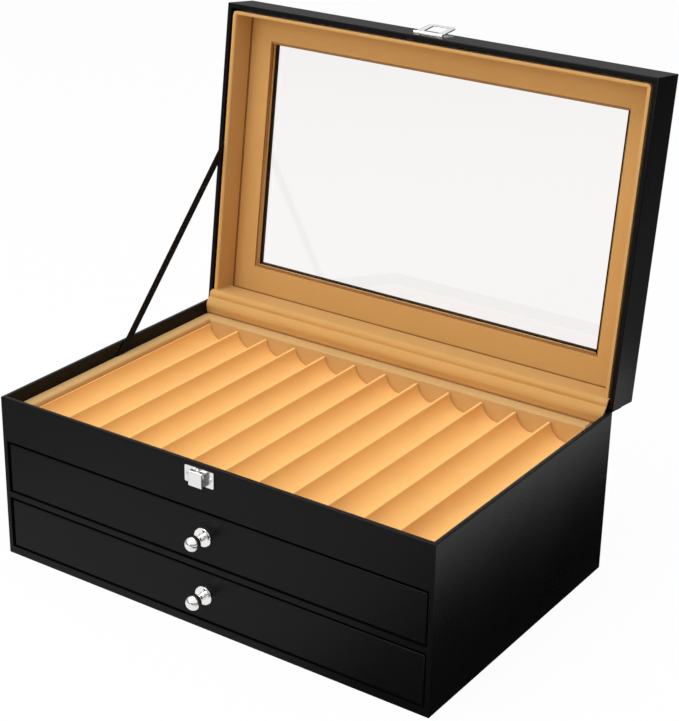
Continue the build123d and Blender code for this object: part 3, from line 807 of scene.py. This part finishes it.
ribbon = {"x": -156.1, "thick": 0.8, "width": 6.0, "lowY": 5.5, "lowZ": 102.3, "highY": 118.0,
          "highZ": 219.5, "tuck": 7.0, "slices": 40, "edgeRound": 0.3}
stayRibbon()
print("linings and ribbon made")

# latch

latch = {"middle": -1.5, "screwOffset": 8.2, "plateThick": 0.8, "edge": 0.24}
strike = {"width": 21.5, "low": 97.6, "high": 108.4, "boxWidth": 10.4, "boxHigh": 9.9,
          "boxReach": 4.1, "boxRound": 0.8, "plateRound": 1.0, "earRadius": 1.7, "earHeight": 1.8,
          "earFoot": 0.8, "earSlit": 0.6}
headLook = {"radius": 1.35, "rise": 0.42, "slotWidth": 0.42, "slotDeep": 0.26, "shank": 0.7,
            "length": 2.6}


def joinInto(bm, part):
    mesh = bpy.data.meshes.new("latchPart")
    part.to_mesh(mesh)
    part.free()
    bm.from_mesh(mesh)
    bpy.data.meshes.remove(mesh)


def domeRows(rise, radius):
    # the turned profile of a dome, from its top to its rim
    return [(rise * math.cos(math.radians(step * 15)), radius * math.sin(math.radians(step * 15)))
            for step in range(7)]


def screwHead(bm, x, y, z, turn):
    # domed head facing the front, with one slot
    part = bmesh.new()
    shank, length = headLook["shank"], headLook["length"]
    rows = domeRows(headLook["rise"], headLook["radius"])
    spinProfile(part, rows + [(0.0, shank), (-length, shank), (-length, 0.0)], (0, 0, 0), 32)
    half = headLook["slotWidth"] / 2
    cutPlanes(part, [(0, -half), (0, half)])
    pushFaces(part, lambda c, n: abs(c.x) < half and c.y < -0.05 and n.y < -0.1,
              (0, headLook["slotDeep"], 0))
    turnVerts(part, part.verts, turn, "Y")
    bmesh.ops.translate(part, vec=(x, y, z), verts=part.verts)
    joinInto(bm, part)


def platePart(bm, low, high, cornerRound, corners):
    # flat plate facing the front: chosen corners rounded, then its front edge eased
    before = set(bm.faces)
    verts = addBlock(bm, low, high)
    picked = [edge for edge in {edge for vert in verts for edge in vert.link_edges}
              if abs(edge.verts[0].co.y - edge.verts[1].co.y) > 0.01 and corners(edge.verts[0].co)]
    bevelEdges(bm, picked, cornerRound, 5)
    made = [face for face in bm.faces if face not in before]
    front = [edge for edge in {edge for face in made for edge in face.edges}
             if all(near(vert.co.y, low[1]) for vert in edge.verts)]
    bevelEdges(bm, front, latch["edge"], 2)


def strikePlate():
    bm = bmesh.new()
    x, face = latch["middle"], -halfDepth
    half, thick = strike["width"] / 2, latch["plateThick"]
    platePart(bm, (x - half, face - thick, strike["low"]), (x + half, face, strike["high"]),
              strike["plateRound"], lambda c: True)
    boxHalf, boxBack = strike["boxWidth"] / 2, face - thick / 2
    top = strike["low"] + strike["boxHigh"]
    box = bmesh.new()
    addBlock(box, (x - boxHalf, face - thick - strike["boxReach"], strike["low"]),
             (x + boxHalf, boxBack, top))
    shown = [edge for edge in box.edges if not all(near(vert.co.y, boxBack) for vert in edge.verts)]
    bevelEdges(box, shown, strike["boxRound"], 4)
    joinInto(bm, box)
    # the ear is a small dome on the box, parted by a slit from front to back
    foot, radius = strike["earFoot"], strike["earRadius"]
    for side in (-1, 1):
        ear = bmesh.new()
        spinProfile(ear, domeRows(strike["earHeight"], radius) + [(-foot, radius), (-foot, 0.0)],
                    (0, 0, 0), 32)
        turnVerts(ear, ear.verts, -90, "X")
        bmesh.ops.bisect_plane(ear, geom=ear.verts[:] + ear.edges[:] + ear.faces[:], dist=0.0001,
                               plane_co=(side * strike["earSlit"] / 2, 0, 0), plane_no=(side, 0, 0),
                               clear_inner=True)
        bmesh.ops.holes_fill(ear, edges=[edge for edge in ear.edges if edge.is_boundary])
        bmesh.ops.translate(ear, vec=(x, face - thick - radius, top), verts=ear.verts)
        joinInto(bm, ear)
    return finishPiece(bm, "strikePlate", "case", "nickel", ("strike_plate",), smoothAngle=35)


def latchScrews(name, body, node, y, z, turns, lid=False):
    bm = bmesh.new()
    for side, turn in zip((-1, 1), turns):
        screwHead(bm, latch["middle"] + side * latch["screwOffset"], y, z, turn)
    return finishPiece(bm, name, body, "screw", (node,), lid=lid, smoothAngle=35)


strikePlate()
plateFace = -halfDepth - latch["plateThick"]
latchScrews("strikeScrews", "case", "strike_screws", plateFace, 103.0, (35, -20))

hasp = {"width": 21.0, "start": 114.6, "length": 14.6, "axisReach": 1.75, "axisZ": 112.9,
        "gap": 0.1, "barrel": 1.25, "barrelRound": 0.15, "pin": 0.6, "pinEnd": 0.25, "knuckle": 4.0,
        "knuckleGap": 0.3, "overlap": 1, "round": 2.0}
flap = {"width": 20.0, "length": 18.6, "lift": 12.0, "round": 4.2, "windowHalf": 5.7, "topBar": 3.4,
        "windowEnd": 16.1, "windowRound": 1.6, "overlap": 0.5}


def addBarrel(bm, x0, x1, radius):
    made = bmesh.ops.create_cone(bm, cap_ends=True, segments=28, radius1=radius, radius2=radius,
                                 depth=x1 - x0)["verts"]
    turnVerts(bm, made, 90, "Y")
    bmesh.ops.translate(bm, vec=((x0 + x1) / 2, -halfDepth - hasp["axisReach"], hasp["axisZ"]),
                        verts=made)
    rims = [edge for edge in {edge for vert in made for edge in vert.link_edges}
            if near(edge.verts[0].co.x, edge.verts[1].co.x)]
    bevelEdges(bm, rims, hasp["barrelRound"], 2)


def haspPlate():
    bm = bmesh.new()
    x, face = latch["middle"], -halfDepth
    half, thick = hasp["width"] / 2, latch["plateThick"]
    top = hasp["start"] + hasp["length"]
    platePart(bm, (x - half, face - thick, hasp["start"]), (x + half, face, top), hasp["round"],
              lambda c: near(c.z, top))
    for side in (-1, 1):
        x0, x1 = sorted((x + side * (half - hasp["knuckle"]), x + side * half))
        platePart(bm, (x0, face - thick, hasp["axisZ"]),
                  (x1, face - hasp["gap"], hasp["start"] + hasp["overlap"]), 0.1, lambda c: False)
        addBarrel(bm, x0, x1, hasp["barrel"])
    finishPiece(bm, "haspPlate", "lid", "nickel", ("hasp_plate",), lid=True, smoothAngle=35)
    bm = bmesh.new()
    addBarrel(bm, x - half - hasp["pinEnd"], x + half + hasp["pinEnd"], hasp["pin"])
    finishPiece(bm, "haspPin", "lid", "screw", ("hasp_pin",), lid=True)


def haspFlap():
    bm = bmesh.new()
    x, thick = latch["middle"], latch["plateThick"]
    y0 = -halfDepth - hasp["axisReach"] - thick / 2
    half, far = flap["width"] / 2, hasp["axisZ"] + flap["length"]
    start = hasp["axisZ"] + hasp["barrel"] + hasp["knuckleGap"]
    low, high = hasp["axisZ"] + flap["topBar"], hasp["axisZ"] + flap["windowEnd"]
    addBlock(bm, (x - half, y0, start), (x + half, y0 + thick, far))
    cutOpening(bm, 1, (x - flap["windowHalf"], x + flap["windowHalf"]), (low, high))

    def across(edge):
        return abs(edge.verts[0].co.y - edge.verts[1].co.y) > 0.01
    outer = [edge for edge in bm.edges if across(edge) and near(edge.verts[0].co.z, far)]
    inner = [edge for edge in bm.edges if across(edge)
             and near(abs(edge.verts[0].co.x - x), flap["windowHalf"])]
    bevelEdges(bm, outer, flap["round"], 8)
    bevelEdges(bm, inner, flap["windowRound"], 5)
    rims = [edge for edge in bm.edges if near(edge.verts[0].co.y, edge.verts[1].co.y)
            and isSharp(edge)]
    bevelEdges(bm, rims, latch["edge"], 2)
    middleHalf = hasp["width"] / 2 - hasp["knuckle"] - hasp["knuckleGap"]
    addBlock(bm, (x - middleHalf, y0, hasp["axisZ"]),
             (x + middleHalf, y0 + thick, start + flap["overlap"]))
    addBarrel(bm, x - middleHalf, x + middleHalf, hasp["barrel"])
    turnVerts(bm, bm.verts, flap["lift"], "X", (0, -halfDepth - hasp["axisReach"], hasp["axisZ"]))
    return finishPiece(bm, "haspFlap", "hasp", "nickel", ("hasp_flap",), lid=True, smoothAngle=35)


haspPlate()
latchScrews("haspScrews", "lid", "hasp_screws", plateFace, 121.9, (70, 15), lid=True)
haspFlap()
print("latch made")

# the floor's pattern for mirrored rays is painted shadow along the box's right foot and painted
# light around it
floorLook = {"size": 6.0, "seenWhite": 0.96, "paintedShadowLine": 0.17, "poolReach": 1.5,
             "fadeFrom": 0.31, "fadeOver": 0.12, "fadeTo": 0.2,
             "paintedShadeAndLight": [(-1.5, 0.3), (1.5, 0.06), (-0.8, 0.35), (-0.48, 0.3), (-0.33, 0.47),
                      (-0.2, 0.47), (-0.1, 0.3), (-0.04, 0.04), (0.05, 0.0), (0.09, 0.5),
                      (0.135, 1.0), (0.21, 1.0), (0.3, 0.5), (0.45, 0.06)], "poolGain": 2.0}


def seenRay(tree, path):
    # a ray from the camera, straight or through clear glass
    return mathNode(tree, "MAXIMUM", path.outputs["Is Camera Ray"],
                    path.outputs["Is Transmission Ray"])


def mirroredRay(tree, path):
    # a ray that goes through clear glass counts as glossy too, and is left out here
    through = mathNode(tree, "SUBTRACT", 1.0, path.outputs["Is Transmission Ray"])
    return mathNode(tree, "MULTIPLY", path.outputs["Is Glossy Ray"], through)


def makeFloor():
    bm = bmesh.new()
    bmesh.ops.create_grid(bm, x_segments=1, y_segments=1, size=floorLook["size"])
    mesh = bpy.data.meshes.new("studioFloor")
    bm.to_mesh(mesh)
    bm.free()
    floor = bpy.data.objects.new("studioFloor", mesh)
    bpy.context.scene.collection.objects.link(floor)
    material = bpy.data.materials.new("studioFloor")
    material.use_nodes = True
    tree = material.node_tree
    shader = tree.nodes["Principled BSDF"]
    shader.inputs["Base Color"].default_value = (0.9, 0.9, 0.9, 1)
    shader.inputs["Roughness"].default_value = 0.9
    shader.inputs["Specular IOR Level"].default_value = 0.0
    # mostly plain white where the camera or glass sees it, so the shadow still shows
    path = tree.nodes.new("ShaderNodeLightPath")
    seen = mathNode(tree, "MULTIPLY", seenRay(tree, path), floorLook["seenWhite"])
    white = addNode(tree, "Emission", Color=(1, 1, 1, 1), Strength=1.0)
    mix = tree.nodes.new("ShaderNodeMixShader")
    tree.links.new(seen, mix.inputs[0])
    tree.links.new(shader.outputs[0], mix.inputs[1])
    tree.links.new(white.outputs[0], mix.inputs[2])
    # what it mirrors in metal and coated leather is painted: a painted shadow along the right foot,
    # painted light around it
    place = tree.nodes.new("ShaderNodeSeparateXYZ")
    tree.links.new(addNode(tree, "TexCoord").outputs["Object"], place.inputs[0])
    across = mathNode(tree, "SUBTRACT", place.outputs["X"], floorLook["paintedShadowLine"])
    across = mathNode(tree, "MULTIPLY_ADD", across, 0.5 / floorLook["poolReach"], 0.5)
    behind = mathNode(tree, "SUBTRACT", place.outputs["Y"], floorLook["fadeFrom"])
    behind = mathNode(tree, "DIVIDE", behind, floorLook["fadeOver"])
    paintedShadeAndLight = addNode(tree, "FloatCurve")
    points = paintedShadeAndLight.mapping.curves[0].points
    for index, (away, strength) in enumerate(floorLook["paintedShadeAndLight"]):
        spot = (0.5 + away / floorLook["poolReach"] / 2, strength)
        if index < 2:
            points[index].location = spot
        else:
            points.new(*spot)
    paintedShadeAndLight.mapping.update()
    tree.links.new(across, paintedShadeAndLight.inputs["Value"])
    mirror = addNode(tree, "Emission", Color=(1, 1, 1, 1))
    gain = mapRange(tree, behind, floorLook["poolGain"], floorLook["fadeTo"])
    tree.links.new(mathNode(tree, "MULTIPLY", paintedShadeAndLight.outputs["Value"], gain),
                   mirror.inputs["Strength"])
    choose = tree.nodes.new("ShaderNodeMixShader")
    tree.links.new(mirroredRay(tree, path), choose.inputs[0])
    tree.links.new(mix.outputs[0], choose.inputs[1])
    tree.links.new(mirror.outputs[0], choose.inputs[2])
    tree.links.new(choose.outputs[0], tree.nodes["Material Output"].inputs[0])
    mesh.materials.append(material)


def makeWorld():
    world = bpy.data.worlds.new("studioWorld")
    world.use_nodes = True
    tree = world.node_tree
    background = tree.nodes["Background"]
    background.inputs["Color"].default_value = (1, 1, 1, 1)
    path = tree.nodes.new("ShaderNodeLightPath")
    plain = mapRange(tree, seenRay(tree, path), studio["ambient"], 1.0)
    # metal and coated leather mirror a room that is white overhead and dim at the horizon
    way = tree.nodes.new("ShaderNodeSeparateXYZ")
    tree.links.new(addNode(tree, "TexCoord").outputs["Generated"], way.inputs[0])
    rise = addNode(tree, "MapRange", interpolation_type="SMOOTHSTEP")
    tree.links.new(way.outputs["Z"], rise.inputs["Value"])
    for label, key in (("From Min", "dimUpTo"), ("From Max", "whiteFrom"), ("To Min", "horizon"),
                       ("To Max", "overhead")):
        rise.inputs[label].default_value = studio[key]
    mirrored = mirroredRay(tree, path)
    parts = (mathNode(tree, "MULTIPLY", plain, mathNode(tree, "SUBTRACT", 1.0, mirrored)),
             mathNode(tree, "MULTIPLY", rise.outputs["Result"], mirrored))
    tree.links.new(mathNode(tree, "ADD", *parts), background.inputs["Strength"])
    bpy.context.scene.world = world


def areaLight(name, place, target, size, energy):
    lamp = bpy.data.lights.new(name, "AREA")
    lamp.shape = "RECTANGLE"
    lamp.size, lamp.size_y = size
    lamp.energy = energy
    light = bpy.data.objects.new(name, lamp)
    bpy.context.scene.collection.objects.link(light)
    turn = (Vector(target) - Vector(place)).to_track_quat("-Z", "Y").to_matrix().to_4x4()
    light.matrix_world = Matrix.Translation(place) @ turn


makeFloor()
studio = {"ambient": 0.45, "horizon": 0.18, "overhead": 1.0, "dimUpTo": 0.08, "whiteFrom": 0.4}
makeWorld()
lights = [("topLight", (-0.2, -0.3, 1.5), (0, 0, 0.1), (1.2, 1.2), 14.5),
          ("frontLight", (-0.5, -1.7, 1.0), (0, 0, 0.15), (1.0, 1.0), 10.5),
          ("sideLight", (1.5, 0.9, 0.8), (0, 0, 0.12), (0.7, 0.7), 3.0)]
for row in lights:
    areaLight(*row)
bpy.context.scene.view_settings.view_transform = "Standard"
print("scene lit")
